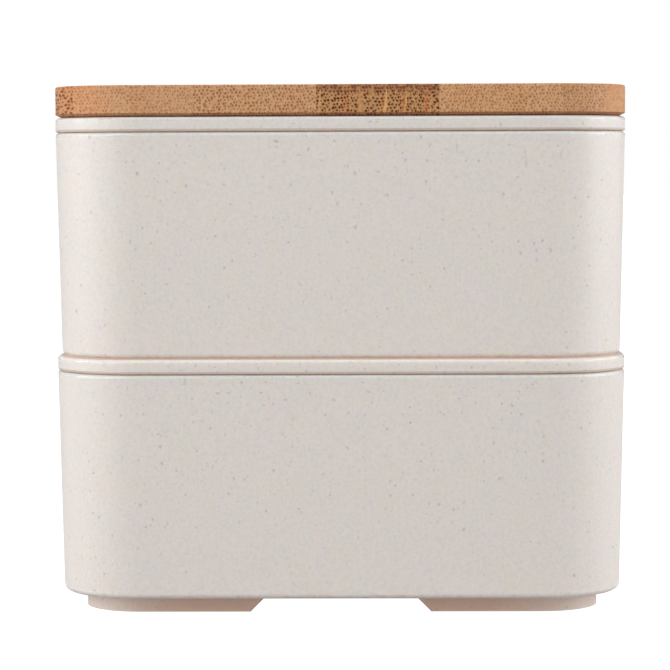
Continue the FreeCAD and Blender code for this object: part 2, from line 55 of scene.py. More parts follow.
class Wiring:
    """Adds nodes to one node tree and joins them up."""

    def __init__(self, tree):
        self.tree = tree

    def node(self, kind, inputs=None, **settings):
        node = self.tree.nodes.new(kind)
        for name, value in settings.items():
            setattr(node, name, value)
        for name, value in (inputs or {}).items():
            self.feed(node.inputs[name], value)
        return node

    def feed(self, socket, value):
        if isinstance(value, bpy.types.NodeSocket):
            self.tree.links.new(value, socket)
        else:
            socket.default_value = value

    def maths(self, operation, *values):
        node = self.node("ShaderNodeMath", operation=operation)
        for socket, value in zip(node.inputs, values):
            self.feed(socket, value)
        return node.outputs[0]

    def vector(self, operation, *values):
        node = self.node("ShaderNodeVectorMath", operation=operation)
        for socket, value in zip(node.inputs, values):
            self.feed(socket, value)
        return node.outputs[0]

    def split(self, vector):
        return self.node("ShaderNodeSeparateXYZ", {"Vector": vector}).outputs

    def join(self, x, y, z):
        return self.node("ShaderNodeCombineXYZ", {"X": x, "Y": y, "Z": z}).outputs[0]

    def step(self, value, low, high, to_low=0.0, to_high=1.0):
        """A soft step: to_low at low, to_high at high."""
        ranges = {"Value": value, "From Min": low, "From Max": high}
        ranges.update({"To Min": to_low, "To Max": to_high})
        return self.node("ShaderNodeMapRange", ranges, interpolation_type="SMOOTHSTEP").outputs[0]

    def noise(self, place, scale, detail=2.0, roughness=0.5):
        inputs = {"Vector": place, "Scale": scale, "Detail": detail, "Roughness": roughness}
        return self.node("ShaderNodeTexNoise", inputs).outputs["Fac"]

    def tint(self, amount, base, over, blend="MIX"):
        node = self.node("ShaderNodeMix", data_type="RGBA", blend_type=blend)
        self.feed(node.inputs["Factor"], amount)
        self.feed(node.inputs["A"], base)
        self.feed(node.inputs["B"], over)
        return node.outputs["Result"]

    def group(self, name, **inputs):
        node = self.tree.nodes.new("ShaderNodeGroup")
        node.node_tree = bpy.data.node_groups[name]
        for key, value in inputs.items():
            self.feed(node.inputs[key.replace("_", " ").capitalize()], value)
        return node.outputs


def shader_group(name, inputs, outputs):
    """A new shader group. Returns its wiring, its input sockets by name, and its output node."""
    tree = bpy.data.node_groups.new(name, "ShaderNodeTree")
    for label, value in inputs.items():
        kind = "NodeSocketVector" if value is None else "NodeSocketFloat"
        socket = tree.interface.new_socket(label, in_out="INPUT", socket_type=kind)
        if value is not None:
            socket.default_value = value
    for label in outputs:
        tree.interface.new_socket(label, in_out="OUTPUT", socket_type="NodeSocketFloat")
    wiring = Wiring(tree)
    return wiring, wiring.node("NodeGroupInput").outputs, wiring.node("NodeGroupOutput")


# ---------------------------------------------------------------- effects shared by the materials

STAGGER = 0.5  # how far each row of fibre bundles is shifted, in columns


def build_specks():
    """Ragged flecks scattered through the whole thickness, so a cut face shows them too."""
    sizes = {"Place": None, "Spacing": 2.0, "Radius": 0.25, "Share": 1.0, "Seed": 0.0}
    w, given, out = shader_group("Specks", sizes, ["Mask", "Kind"])
    drift = w.node("ShaderNodeTexNoise", {"Vector": given["Place"], "Scale": 1.6, "Detail": 1.0})
    ragged = w.vector("MULTIPLY", w.vector("SUBTRACT", drift.outputs["Color"], (0.5, 0.5, 0.5)),
                      (0.55, 0.55, 0.55))
    offset = w.join(given["Seed"], given["Seed"], given["Seed"])
    place = w.vector("ADD", w.vector("ADD", given["Place"], ragged), offset)
    scaled = w.node("ShaderNodeVectorMath", {"Vector": place}, operation="SCALE")
    w.feed(scaled.inputs["Scale"], w.maths("DIVIDE", 1.0, given["Spacing"]))
    cells = w.node("ShaderNodeTexVoronoi", {"Vector": scaled.outputs[0], "Scale": 1.0})
    distance = w.maths("MULTIPLY", cells.outputs["Distance"], given["Spacing"])
    dice = w.node("ShaderNodeSeparateColor", {"Color": cells.outputs["Color"]}).outputs
    size = w.step(dice["Red"], 0.0, 1.0, 0.5, 1.35)
    radius = w.maths("MULTIPLY", size, given["Radius"])
    dot = w.step(w.maths("DIVIDE", distance, radius), 0.35, 1.25, 1.0, 0.0)
    chosen = w.maths("LESS_THAN", dice["Green"], given["Share"])
    w.feed(out.inputs["Mask"], w.maths("MULTIPLY", dot, chosen))
    w.feed(out.inputs["Kind"], dice["Blue"])


def build_height_band():
    """Full between two heights, and fading out over a blur above and below them."""
    sizes = {"Place": None, "Low": 0.0, "High": 1.0, "Blur": 1.0}
    w, given, out = shader_group("Height band", sizes, ["Mask"])
    height = w.split(given["Place"])["Z"]
    up = w.step(height, w.maths("SUBTRACT", given["Low"], given["Blur"]), given["Low"])
    down = w.step(height, given["High"], w.maths("ADD", given["High"], given["Blur"]), 1.0, 0.0)
    w.feed(out.inputs["Mask"], w.maths("MULTIPLY", up, down))


def build_outline():
    """How far inside the box's rounded outline a point is, in mm, and whether it is at a corner."""
    sizes = {"Place": None, "Half width": 54.0, "Half length": 93.0, "Corner": 16.0}
    w, given, out = shader_group("Outline", sizes, ["Inside", "At corner"])
    x, y, _ = (w.split(given["Place"])[axis] for axis in "XYZ")
    over = []
    for value, half in ((x, given["Half width"]), (y, given["Half length"])):
        straight = w.maths("SUBTRACT", half, given["Corner"])
        past = w.maths("SUBTRACT", w.maths("ABSOLUTE", value), straight)
        over.append(w.maths("MAXIMUM", past, 0.0))
    corner_reach = w.maths("POWER", w.maths("ADD", w.maths("MULTIPLY", over[0], over[0]),
                                            w.maths("MULTIPLY", over[1], over[1])), 0.5)
    inside = w.maths("SUBTRACT", given["Corner"], corner_reach)
    w.feed(out.inputs["Inside"], w.maths("MAXIMUM", inside, 0.0))
    w.feed(out.inputs["At corner"], w.step(w.maths("MINIMUM", over[0], over[1]), 0.0, 6.0))


def build_edge_wear():
    """Handling marks along a rounded outline at one level: a broken line, widest at the corners."""
    sizes = {"Place": None, "Level": 0.0, "Half width": 54.0, "Half length": 93.0, "Corner": 16.0,
             "Reach": 0.8}
    w, given, out = shader_group("Edge wear", sizes, ["Mask"])
    outline = w.group("Outline", place=given["Place"], half_width=given["Half width"],
                      half_length=given["Half length"], corner=given["Corner"])
    z = w.split(given["Place"])["Z"]
    off_level = w.maths("ABSOLUTE", w.maths("SUBTRACT", z, given["Level"]))
    away = w.maths("ADD", off_level, outline["Inside"])
    at_corner = w.step(outline["At corner"], 0.0, 1.0, 0.75, 1.4)
    broken = w.step(w.noise(given["Place"], 0.7, 3.0, 0.65), 0.32, 0.62)
    reach = w.maths("MULTIPLY", given["Reach"], w.maths("MULTIPLY", broken, at_corner))
    w.feed(out.inputs["Mask"], w.step(away, w.maths("MULTIPLY", reach, 0.3), reach, 1.0, 0.0))


def build_foot_shade():
    """Masks for painted shade on the feet: tan at the sides, paler at corners, dark at their ends.
    """
    sizes = {"Place": None, "Ground": 0.0, "Height": 3.0, "Half gap": 17.0}
    w, given, out = shader_group("Foot shade", sizes, ["Tan", "End shade line"])
    x, y, z = (w.split(given["Place"])[axis] for axis in "XYZ")
    x, y = w.maths("ABSOLUTE", x), w.maths("ABSOLUTE", y)
    rise = w.maths("SUBTRACT", z, given["Ground"])
    foot = w.step(rise, w.maths("SUBTRACT", given["Height"], 0.12), given["Height"], 1.0, 0.0)
    corner = w.maths("MULTIPLY", w.step(x, 24.0, 50.0), w.step(y, 62.0, 88.0))
    w.feed(out.inputs["Tan"], w.maths("MULTIPLY", foot, w.maths("SUBTRACT", 1.0, corner)))
    beyond = w.maths("SUBTRACT", w.maths("ADD", w.maths("MINIMUM", x, y), rise), given["Half gap"])
    w.feed(out.inputs["End shade line"], w.maths("MULTIPLY", foot, w.step(beyond, 0.1, 0.32, 1.0, 0.0)))


def build_bamboo_grain():
    """Fibre bundles along Y: dots where the bamboo is cut across, streaks where it isn't."""
    sizes = {"Place": None, "Across": 0.85, "Up": 0.74, "Dot width": 0.17, "Dot height": 0.22,
             "Seed": 0.0}
    outputs = ["Bundles", "Halo", "Streaks", "Tone"]
    w, given, out = shader_group("Bamboo grain", sizes, outputs)
    x, y, z = (w.split(given["Place"])[axis] for axis in "XYZ")
    sway_place = w.join(w.maths("MULTIPLY", x, 0.08), w.maths("MULTIPLY", y, 0.012), given["Seed"])
    sway = w.node("ShaderNodeTexNoise", {"Vector": sway_place, "Scale": 1.0, "Detail": 1.0})
    bent = w.vector("MULTIPLY", sway.outputs["Color"], (5.0, 0.0, 1.4))
    jitter = w.node("ShaderNodeTexNoise", {"Vector": w.join(x, w.maths("MULTIPLY", y, 0.03), z),
                                           "Scale": 1.7, "Detail": 1.0})
    ragged = w.vector("MULTIPLY", jitter.outputs["Color"], (0.35, 0.0, 0.35))
    shift = w.join(given["Seed"], 0.0, w.maths("MULTIPLY", given["Seed"], 0.37))
    place = w.join(x, 0.0, z)
    for push in (bent, shift, ragged):
        place = w.vector("ADD", place, push)
    px, _, pz = (w.split(place)[axis] for axis in "XYZ")
    row = w.maths("DIVIDE", pz, given["Up"])
    column = w.maths("DIVIDE", px, given["Across"])
    staggered = w.maths("ADD", column, w.maths("MULTIPLY", row, STAGGER))
    flat = w.join(staggered, row, 0.0)
    inputs = {"Vector": flat, "Scale": 1.0, "Randomness": 0.55}
    cells = w.node("ShaderNodeTexVoronoi", inputs, voronoi_dimensions="2D")
    dice = w.node("ShaderNodeSeparateColor", {"Color": cells.outputs["Color"]}).outputs
    away = w.vector("SUBTRACT", flat, cells.outputs["Position"])
    off_x, off_z = (w.split(away)[axis] for axis in "XY")
    off = w.join(w.maths("SUBTRACT", off_x, w.maths("MULTIPLY", off_z, STAGGER)), off_z, 0.0)
    stretch = w.join(w.maths("DIVIDE", given["Across"], given["Dot width"]),
                     w.maths("DIVIDE", given["Up"], given["Dot height"]), 0.0)
    length = w.node("ShaderNodeVectorMath", {"Vector": w.vector("MULTIPLY", off, stretch)},
                    operation="LENGTH").outputs["Value"]
    length = w.maths("DIVIDE", length, w.step(dice["Red"], 0.0, 1.0, 0.6, 1.25))
    w.feed(out.inputs["Bundles"], w.step(length, 0.35, 1.3, 1.0, 0.0))
    w.feed(out.inputs["Halo"], w.step(length, 0.6, 2.6, 1.0, 0.0))
    streak_place = w.join(w.maths("MULTIPLY", px, 2.6), w.maths("MULTIPLY", y, 0.02),
                          w.maths("MULTIPLY", pz, 1.1))
    w.feed(out.inputs["Streaks"], w.noise(streak_place, 1.0, 3.0, 0.6))
    tone_place = w.join(w.maths("MULTIPLY", px, 0.16), w.maths("MULTIPLY", y, 0.006),
                        w.maths("MULTIPLY", pz, 0.1))
    w.feed(out.inputs["Tone"], w.noise(tone_place, 1.0, 2.0, 0.5))


def build_bamboo_ray():
    """A wedge of soft tissue between the fibres, wide below and pinched out above, leaning over."""
    sizes = {"Place": None, "Centre": 0.0, "Middle": 95.5, "Lean": 0.15, "Half width": 0.4,
             "Half height": 2.2}
    w, given, out = shader_group("Bamboo ray", sizes, ["Mask"])
    x, y, z = (w.split(given["Place"])[axis] for axis in "XYZ")
    rise = w.maths("SUBTRACT", z, given["Middle"])
    wander = w.maths("SUBTRACT", w.noise(w.join(0.0, y, z), 0.3, 1.0), 0.5)
    centre = w.maths("ADD", given["Centre"], w.maths("MULTIPLY", rise, given["Lean"]))
    off = w.maths("ABSOLUTE", w.maths("SUBTRACT", w.maths("SUBTRACT", x, centre), wander))
    share = w.maths("DIVIDE", rise, given["Half height"])
    width = w.maths("MULTIPLY", given["Half width"], w.step(share, -1.0, 1.0, 1.25, 0.5))
    body = w.step(w.maths("DIVIDE", off, width), 0.5, 1.25, 1.0, 0.0)
    ends = w.step(w.maths("ABSOLUTE", share), 0.8, 1.15, 1.0, 0.0)
    w.feed(out.inputs["Mask"], w.maths("MULTIPLY", body, ends))


def build_knuckle():
    """A node ring of the bamboo, cut through flat: a darker line across a stave with a pale lip."""
    sizes = {"Place": None, "Along": 0.0, "Width": 1.6}
    w, given, out = shader_group("Bamboo knuckle", sizes, ["Line", "Halo"])
    x, y, z = (w.split(given["Place"])[axis] for axis in "XYZ")
    wave = w.maths("MULTIPLY", w.maths("SUBTRACT", w.noise(w.join(x, 0.0, z), 0.11, 2.0), 0.5), 9.0)
    off = w.maths("ABSOLUTE", w.maths("ADD", w.maths("SUBTRACT", y, given["Along"]), wave))
    w.feed(out.inputs["Line"], w.step(off, 0.0, given["Width"], 1.0, 0.0))
    w.feed(out.inputs["Halo"], w.step(off, 0.0, w.maths("MULTIPLY", given["Width"], 5.0), 1.0, 0.0))


for build in (build_specks, build_height_band, build_outline, build_edge_wear, build_foot_shade,
              build_bamboo_grain, build_bamboo_ray, build_knuckle):
    build()


# ---------------------------------------------------------------- sizes read off the frame


def level(node, end):
    """The height of a node's lowest (0) or highest (1) point, in millimetres."""
    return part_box(node)[end].z / MM


HALF_WIDTH, HALF_LENGTH = HIGH.x / MM, HIGH.y / MM
BOARD_LOW, BOARD_TOP = level("lid_stave_3", 0), level("lid_stave_3", 1)
FOOT = 3.0  # height of the feet
LID_RIM = 2.7  # height of a lid's visible rim
NARROWING = 0.88  # how far a tray narrows, on each side, from its rim to its underside
CORNER = 16.0  # corner radius in plan, at the rims
CHAMFER = 0.65  # height of the chamfer under the board's edge


# ---------------------------------------------------------------- materials


def new_material(name):
    """A material with one Principled shader. Returns it, its wiring, shader and place in mm."""
    material = bpy.data.materials.new(name)
    material.use_nodes = True
    material.node_tree.nodes.clear()
    w = Wiring(material.node_tree)
    shader = w.node("ShaderNodeBsdfPrincipled")
    surface = w.node("ShaderNodeOutputMaterial")
    w.tree.links.new(shader.outputs[0], surface.inputs["Surface"])
    where = w.node("ShaderNodeTexCoord").outputs["Object"]
    place = w.node("ShaderNodeVectorMath", {"Vector": where}, operation="SCALE")
    place.inputs["Scale"].default_value = 1 / MM
    return material, w, shader, place.outputs[0]


def bump(w, shader, height, strength, distance):
    """Fine relief: distance is its depth in metres."""
    node = w.node("ShaderNodeBump", {"Height": height, "Strength": strength, "Distance": distance})
    w.feed(shader.inputs["Normal"], node.outputs[0])


def let_light_in(shader, weight, radius, scale):
    """Light that spreads inside the material: scale is how far, in metres."""
    shader.inputs["Subsurface Weight"].default_value = weight
    shader.inputs["Subsurface Radius"].default_value = radius
    shader.inputs["Subsurface Scale"].default_value = scale


def inside_outline(w, place):
    """How far inside the box's outline a point is, in mm."""
    sizes = dict(half_width=HALF_WIDTH, half_length=HALF_LENGTH, corner=CORNER)
    return w.group("Outline", place=place, **sizes)["Inside"]


NO_LIGHT = linear(0, 0, 0)
CREAM = linear(226, 219, 214)
CREAM_PINK = linear(227, 217, 214)
CREAM_STRAW = linear(224, 219, 209)
HUSK_GREY = linear(150, 145, 148)
HUSK_BROWN = linear(160, 146, 134)
STRAW = linear(198, 184, 164)
# The tan and grey shades are multiplied in as painted shade, the end brown is painted shade on the
# feet's ends, and the two glows are painted light given as emission.
SHADE_TAN = linear(214, 178, 154)
SHADE_GREY = linear(214, 214, 216)
END_SHADE_BROWN = linear(120, 98, 88)
JOINT_PAINTED_GLOW = linear(122, 108, 100)
FOOT_PAINTED_GLOW = linear(62, 42, 28)
RUBBED_CREAM = linear(238, 233, 228)
SHINIEST = 0.11  # lowest roughness of the plastic


def speckled_plastic(name, tan_shade_bands=(), grey_shade_bands=(), foot_ground=None, worn=(), polished=(),
                     glow=None):
    """Cream plastic filled with husk and straw.

    tan_shade_bands are heights painted tan as shade, in seams and crevices, and grey_shade_bands
    heights
    painted grey as shade: low, high, blur, strength. Both show on the outer wall only. foot_ground
    is the level the feet stand on; the feet get painted tan shade, a painted dark line on their
    ends and a faint painted glow. worn are the outlines whose edges are rubbed: level, inset.
    polished are the heights of glossy rims: low, high. glow is a painted glow, given as emission,
    in a crevice at a joint: low, high, blur, and how far inside the outline it starts.
    """
    material, w, shader, place = new_material(name)
    mottle = w.noise(place, 0.22, 3.0, 0.6)
    cast = w.noise(place, 0.30, 2.0)
    colour = w.tint(w.step(cast, 0.35, 0.65), CREAM_PINK, CREAM_STRAW)
    colour = w.tint(w.step(mottle, 0.3, 0.7, 0.35, 0.85), colour, CREAM)
    fines = w.noise(place, 1.6, 3.0, 0.7)
    colour = w.tint(w.step(fines, 0.36, 0.72, 0.0, 0.13), colour, HUSK_GREY)
    stretches = ((1.0, 1.0, 1.0), (0.7, 1.0, 1.0), (1.0, 0.75, 0.7))
    seeds = (3.0, 41.0, 67.0)
    husk = None
    for stretch, seed in zip(stretches, seeds):
        laid = w.vector("MULTIPLY", place, stretch)
        flecks = w.group("Specks", place=laid, spacing=1.5, radius=0.22, share=0.45, seed=seed)
        kind = flecks["Kind"]
        shade = w.tint(w.step(kind, 0.6, 0.8), HUSK_GREY, HUSK_BROWN)
        strength = w.step(kind, 0.0, 1.0, 0.44, 0.12)
        colour = w.tint(w.maths("MULTIPLY", flecks["Mask"], strength), colour, shade)
        husk = flecks["Mask"] if husk is None else w.maths("MAXIMUM", husk, flecks["Mask"])
    dust = w.group("Specks", place=place, spacing=0.85, radius=0.17, share=0.6, seed=11.0)
    colour = w.tint(w.maths("MULTIPLY", dust["Mask"], 0.13), colour, HUSK_GREY)
    straw_place = w.vector("MULTIPLY", place, (1.0, 1.0, 0.3))
    straw = w.group("Specks", place=straw_place, spacing=3.2, radius=0.2, share=0.3, seed=23.0)
    colour = w.tint(w.maths("MULTIPLY", straw["Mask"], 0.5), colour, STRAW)
    inside = inside_outline(w, place)
    outer_wall = w.step(inside, 3.2, 4.2, 1.0, 0.0)
    # painted shade: tan and grey bands multiplied into the outer wall at seams, crevices and the
    # base edge
    for bands, shade in ((tan_shade_bands, SHADE_TAN), (grey_shade_bands, SHADE_GREY)):
        for low, high, blur, strength in bands:
            band = w.group("Height band", place=place, low=low, high=high, blur=blur)["Mask"]
            amount = w.maths("MULTIPLY", w.maths("MULTIPLY", band, outer_wall), strength)
            colour = w.tint(amount, colour, shade, "MULTIPLY")
    light = NO_LIGHT
    if foot_ground is not None:
        # painted shade on the feet: tan, strongest along the sides, and a dark line on their ends;
        # plus a faint painted glow
        feet = w.group("Foot shade", place=place, ground=foot_ground, height=FOOT)
        amount = w.maths("ADD", w.maths("MULTIPLY", feet["Tan"], 0.5), 0.18)
        low_band = w.group("Height band", place=place, low=foot_ground - 1.0,
                           high=foot_ground + FOOT - 0.05, blur=0.05)["Mask"]
        colour = w.tint(w.maths("MULTIPLY", low_band, amount), colour, SHADE_TAN, "MULTIPLY")
        colour = w.tint(w.maths("MULTIPLY", feet["End shade line"], 0.8), colour, END_SHADE_BROWN, "MULTIPLY")
        light = w.tint(low_band, light, FOOT_PAINTED_GLOW)
    satin = w.noise(place, 0.9, 2.0)
    roughness = w.step(satin, 0.3, 0.7, 0.33, 0.43)
    for height, inset in worn:
        sizes = dict(half_width=HALF_WIDTH - inset, half_length=HALF_LENGTH - inset,
                     corner=CORNER - inset)
        rubbed = w.group("Edge wear", place=place, level=height, **sizes)["Mask"]
        colour = w.tint(w.maths("MULTIPLY", rubbed, 0.35), colour, RUBBED_CREAM)
        roughness = w.maths("SUBTRACT", roughness, w.maths("MULTIPLY", rubbed, 0.06))
    for low, high in polished:
        gloss = w.group("Height band", place=place, low=low, high=high, blur=0.25)["Mask"]
        roughness = w.maths("SUBTRACT", roughness, w.maths("MULTIPLY", gloss, 0.22))
    # painted light: a warm glow, given as emission, in the crevice at a joint
    if glow:
        low, high, blur, inset = glow
        lit = w.group("Height band", place=place, low=low, high=high, blur=blur)["Mask"]
        lit = w.maths("MULTIPLY", lit, outer_wall)
        lit = w.maths("MULTIPLY", lit, w.step(inside, inset, inset + 0.8))
        light = w.tint(lit, light, JOINT_PAINTED_GLOW)
    w.feed(shader.inputs["Emission Color"], light)
    shader.inputs["Emission Strength"].default_value = 1.0
    w.feed(shader.inputs["Base Color"], colour)
    w.feed(shader.inputs["Roughness"], w.maths("MAXIMUM", roughness, SHINIEST))
    shader.inputs["Specular IOR Level"].default_value = 0.5
    let_light_in(shader, 0.6, (1.0, 0.62, 0.42), 0.003)
    grain = w.noise(place, 5.0, 2.0, 0.6)
    height = w.maths("ADD", grain, w.maths("MULTIPLY", husk, -0.5))
    bump(w, shader, height, 0.12, 0.00006)
    return material


SILICONE_DULL = linear(222, 217, 208)
SILICONE_PALE = linear(232, 229, 222)


def soft_silicone(name):
    """Milky off-white silicone with a dry bloom on its surface."""
    material, w, shader, place = new_material(name)
    bloom = w.noise(place, 0.5, 3.0, 0.6)
    colour = w.tint(w.step(bloom, 0.3, 0.7), SILICONE_DULL, SILICONE_PALE)
    dust = w.group("Specks", place=place, spacing=2.6, radius=0.14, share=0.35, seed=29.0)["Mask"]
    w.feed(shader.inputs["Base Color"], w.tint(w.maths("MULTIPLY", dust, 0.35), colour, STRAW))
    w.feed(shader.inputs["Roughness"], w.step(bloom, 0.3, 0.7, 0.48, 0.62))
    let_light_in(shader, 0.35, (1.0, 0.9, 0.8), 0.002)
    bump(w, shader, w.noise(place, 3.0, 3.0), 0.15, 0.00008)
    return material


BAMBOO_ORANGE = linear(206, 128, 74)
BAMBOO_PALE = linear(226, 190, 146)
CHAMFER_SHADE_BROWN = linear(150, 92, 66)
EDGE_SHADE_BROWN = linear(92, 58, 48)
CULM_SKIN = linear(118, 66, 42)
KNUCKLE_BROWN = linear(132, 88, 58)


def bamboo(name, ground, dots, depth, halo, seed, across=0.65, up=0.6, dot=(0.15, 0.18), warmth=0.2,
           knuckle=None, skin=0.0, rays=(), clear=(), patches=(), chamfer_shade=0.5):
    """One bamboo stave.

    ground and dots are its colours; depth and halo are how dark its fibres look. skin is how dark
    the outer skin of the culm is at the top. rays are wedges of soft tissue: centre, lean, half
    width, colour, strength. clear are stretches with fainter dots and patches are stained ones:
    centre, middle height, half width, half height, strength. stain is how dark the painted shade
    on the chamfer is.
    """
    material, w, shader, place = new_material(name)
    sizes = dict(across=across, up=up, dot_width=dot[0], dot_height=dot[1], seed=seed)
    grain = w.group("Bamboo grain", place=place, **sizes)
    bundles, around = grain["Bundles"], grain["Halo"]
    for centre, middle, half_width, half_height, strength in clear:
        sizes = dict(centre=centre, middle=middle, lean=0.0, half_width=half_width)
        gap = w.group("Bamboo ray", place=place, half_height=half_height, **sizes)["Mask"]
        fade = w.maths("SUBTRACT", 1.0, w.maths("MULTIPLY", gap, strength))
        bundles, around = w.maths("MULTIPLY", bundles, fade), w.maths("MULTIPLY", around, fade)
    colour = w.tint(w.step(grain["Tone"], 0.35, 0.7, 0.0, warmth), ground, BAMBOO_ORANGE)
    colour = w.tint(w.step(grain["Streaks"], 0.38, 0.72, 0.0, 0.28), colour, dots)
    for centre, middle, half_width, half_height, strength in patches:
        sizes = dict(centre=centre, middle=middle, lean=0.0, half_width=half_width)
        patch = w.group("Bamboo ray", place=place, half_height=half_height, **sizes)["Mask"]
        colour = w.tint(w.maths("MULTIPLY", patch, strength), colour, BAMBOO_ORANGE)
    colour = w.tint(w.maths("MULTIPLY", around, halo), colour, dots)
    colour = w.tint(w.maths("MULTIPLY", bundles, depth), colour, dots)
    if skin:
        sizes = dict(low=BOARD_TOP - 0.35, high=BOARD_TOP + 1.0, blur=2.0)
        outer = w.group("Height band", place=place, **sizes)["Mask"]
        lines = w.join(w.maths("MULTIPLY", w.split(place)["X"], 0.5), 0.0,
                       w.maths("MULTIPLY", w.split(place)["Z"], 5.0))
        lined = w.step(w.noise(lines, 1.0, 2.0), 0.3, 0.65, 0.5, 1.0)
        lined = w.maths("MULTIPLY", lined, w.step(around, 0.0, 0.8, 0.45, 1.0))
        amount = w.maths("MULTIPLY", w.maths("MULTIPLY", outer, lined), skin)
        colour = w.tint(amount, colour, CULM_SKIN)
    for centre, lean, half_width, shade, strength in rays:
        sizes = dict(centre=centre, middle=BOARD_LOW + 2.7, lean=lean, half_width=half_width)
        wedge = w.group("Bamboo ray", place=place, half_height=2.3, **sizes)["Mask"]
        colour = w.tint(w.maths("MULTIPLY", wedge, strength), colour, shade)
    if knuckle is not None:
        ring = w.group("Bamboo knuckle", place=place, along=knuckle)
        colour = w.tint(w.maths("MULTIPLY", ring["Halo"], 0.2), colour, BAMBOO_PALE)
        colour = w.tint(w.maths("MULTIPLY", ring["Line"], 0.6), colour, KNUCKLE_BROWN)
    # painted shade along the chamfer and a painted shadow under the board's edge
    colour = shade_board_edges(w, place, colour, chamfer_shade)
    sizes = dict(level=BOARD_TOP, half_width=HALF_WIDTH, half_length=HALF_LENGTH, reach=0.7)
    rubbed = w.group("Edge wear", place=place, **sizes)["Mask"]
    colour = w.tint(w.maths("MULTIPLY", rubbed, 0.4), colour, BAMBOO_ORANGE)
    w.feed(shader.inputs["Base Color"], colour)
    w.feed(shader.inputs["Roughness"], w.step(grain["Streaks"], 0.3, 0.7, 0.42, 0.58))
    shader.inputs["Specular IOR Level"].default_value = 0.22
    relief = w.maths("MULTIPLY", bundles, -1.0)
    bump(w, shader, relief, 0.2, 0.00008)
    return material


def shade_board_edges(w, place, colour, chamfer_shade):
    """Painted shade under the board's edge: a dark line at the chamfer's top, the chamfer, and a
    painted shadow at its foot.
    """
    inside = inside_outline(w, place)
    near_edge = w.step(inside, 1.6, 3.2, 1.0, 0.12)
    uneven = w.step(w.noise(place, 0.45, 3.0, 0.6), 0.3, 0.7, 0.6, 1.0)
    uneven = w.maths("MULTIPLY", uneven, near_edge)
    edge = BOARD_LOW + CHAMFER
    # painted shade on the chamfer and its top edge, and a painted shadow where the board meets the
    # lid
    lines = ((edge - 0.10, edge + 0.02, 0.09, chamfer_shade, EDGE_SHADE_BROWN),
             (BOARD_LOW - 1.0, edge, 0.05, chamfer_shade, CHAMFER_SHADE_BROWN),
             (BOARD_LOW - 1.0, BOARD_LOW + 0.14, 0.18, 0.5, EDGE_SHADE_BROWN))
    for low, high, blur, strength, shade in lines:
        band = w.group("Height band", place=place, low=low, high=high, blur=blur)["Mask"]
        amount = w.maths("MULTIPLY", w.maths("MULTIPLY", band, uneven), strength)
        colour = w.tint(amount, colour, shade)
    return colour


def dress(node, material):
    NODES[node].data.materials.clear()
    NODES[node].data.materials.append(material)


def dress_plastic():
    for tray, nested in (("lower_container", False), ("upper_container", True)):
        ground, rim = level(tray, 0), level(tray, 1)
        under = ground + FOOT
        # painted shade: tan in the seam at the tray's rim, under the lid
        tan_shade = [(rim - 0.12, rim + 1.0, 0.2, 0.45)]
        # painted shade: grey along the lower tray's rounded base edge
        grey_shade = [] if nested else [(under - 0.1, under + 0.5, 0.5, 0.8)]
        if nested:
            # painted shade: tan in the crevice where this tray sits on the lid below
            tan_shade.append((under - 0.1, under + 0.25, 0.9, 0.5))
        worn = ((rim - 0.35, 0.2), (under + 0.6, NARROWING + 0.3))
        # painted light: a glow, given as emission, in that crevice
        glow = (under - 0.1, under + 0.06, 0.25, 0.0) if nested else None
        gloss = ((rim - 0.8, rim),)
        material = speckled_plastic(f"{tray} plastic", tan_shade, grey_shade, ground, worn, gloss, glow)
        dress(tray, material)
    for lid in ("lower_lid", "upper_lid"):
        top = level(lid, 1)
        rim = top - LID_RIM
        # painted shade: tan at the lid's lower edge, in the seam above the tray
        tan_shade = [(rim - 0.5, rim + 0.4, 0.15, 0.55)]
        # painted light: a glow, given as emission, along the lower lid's top edge under the upper
        # tray
        glow = (top - 0.05, top + 1.0, 0.1, 1.2) if lid == "lower_lid" else None
        material = speckled_plastic(f"{lid} plastic", tan_shade, worn=((top - 0.25, 0.15),),
                                    polished=((top - 0.6, top),), glow=glow)
        dress(lid, material)
    dress("divider", speckled_plastic("divider plastic"))


def dress_silicone():
    silicone = soft_silicone("soft silicone")
    for piece in ("lower_lid_seal", "upper_lid_seal", "bamboo_lid_grip_ring", "lower_lid_vent_plug",
                  "upper_lid_vent_plug"):
        dress(piece, silicone)


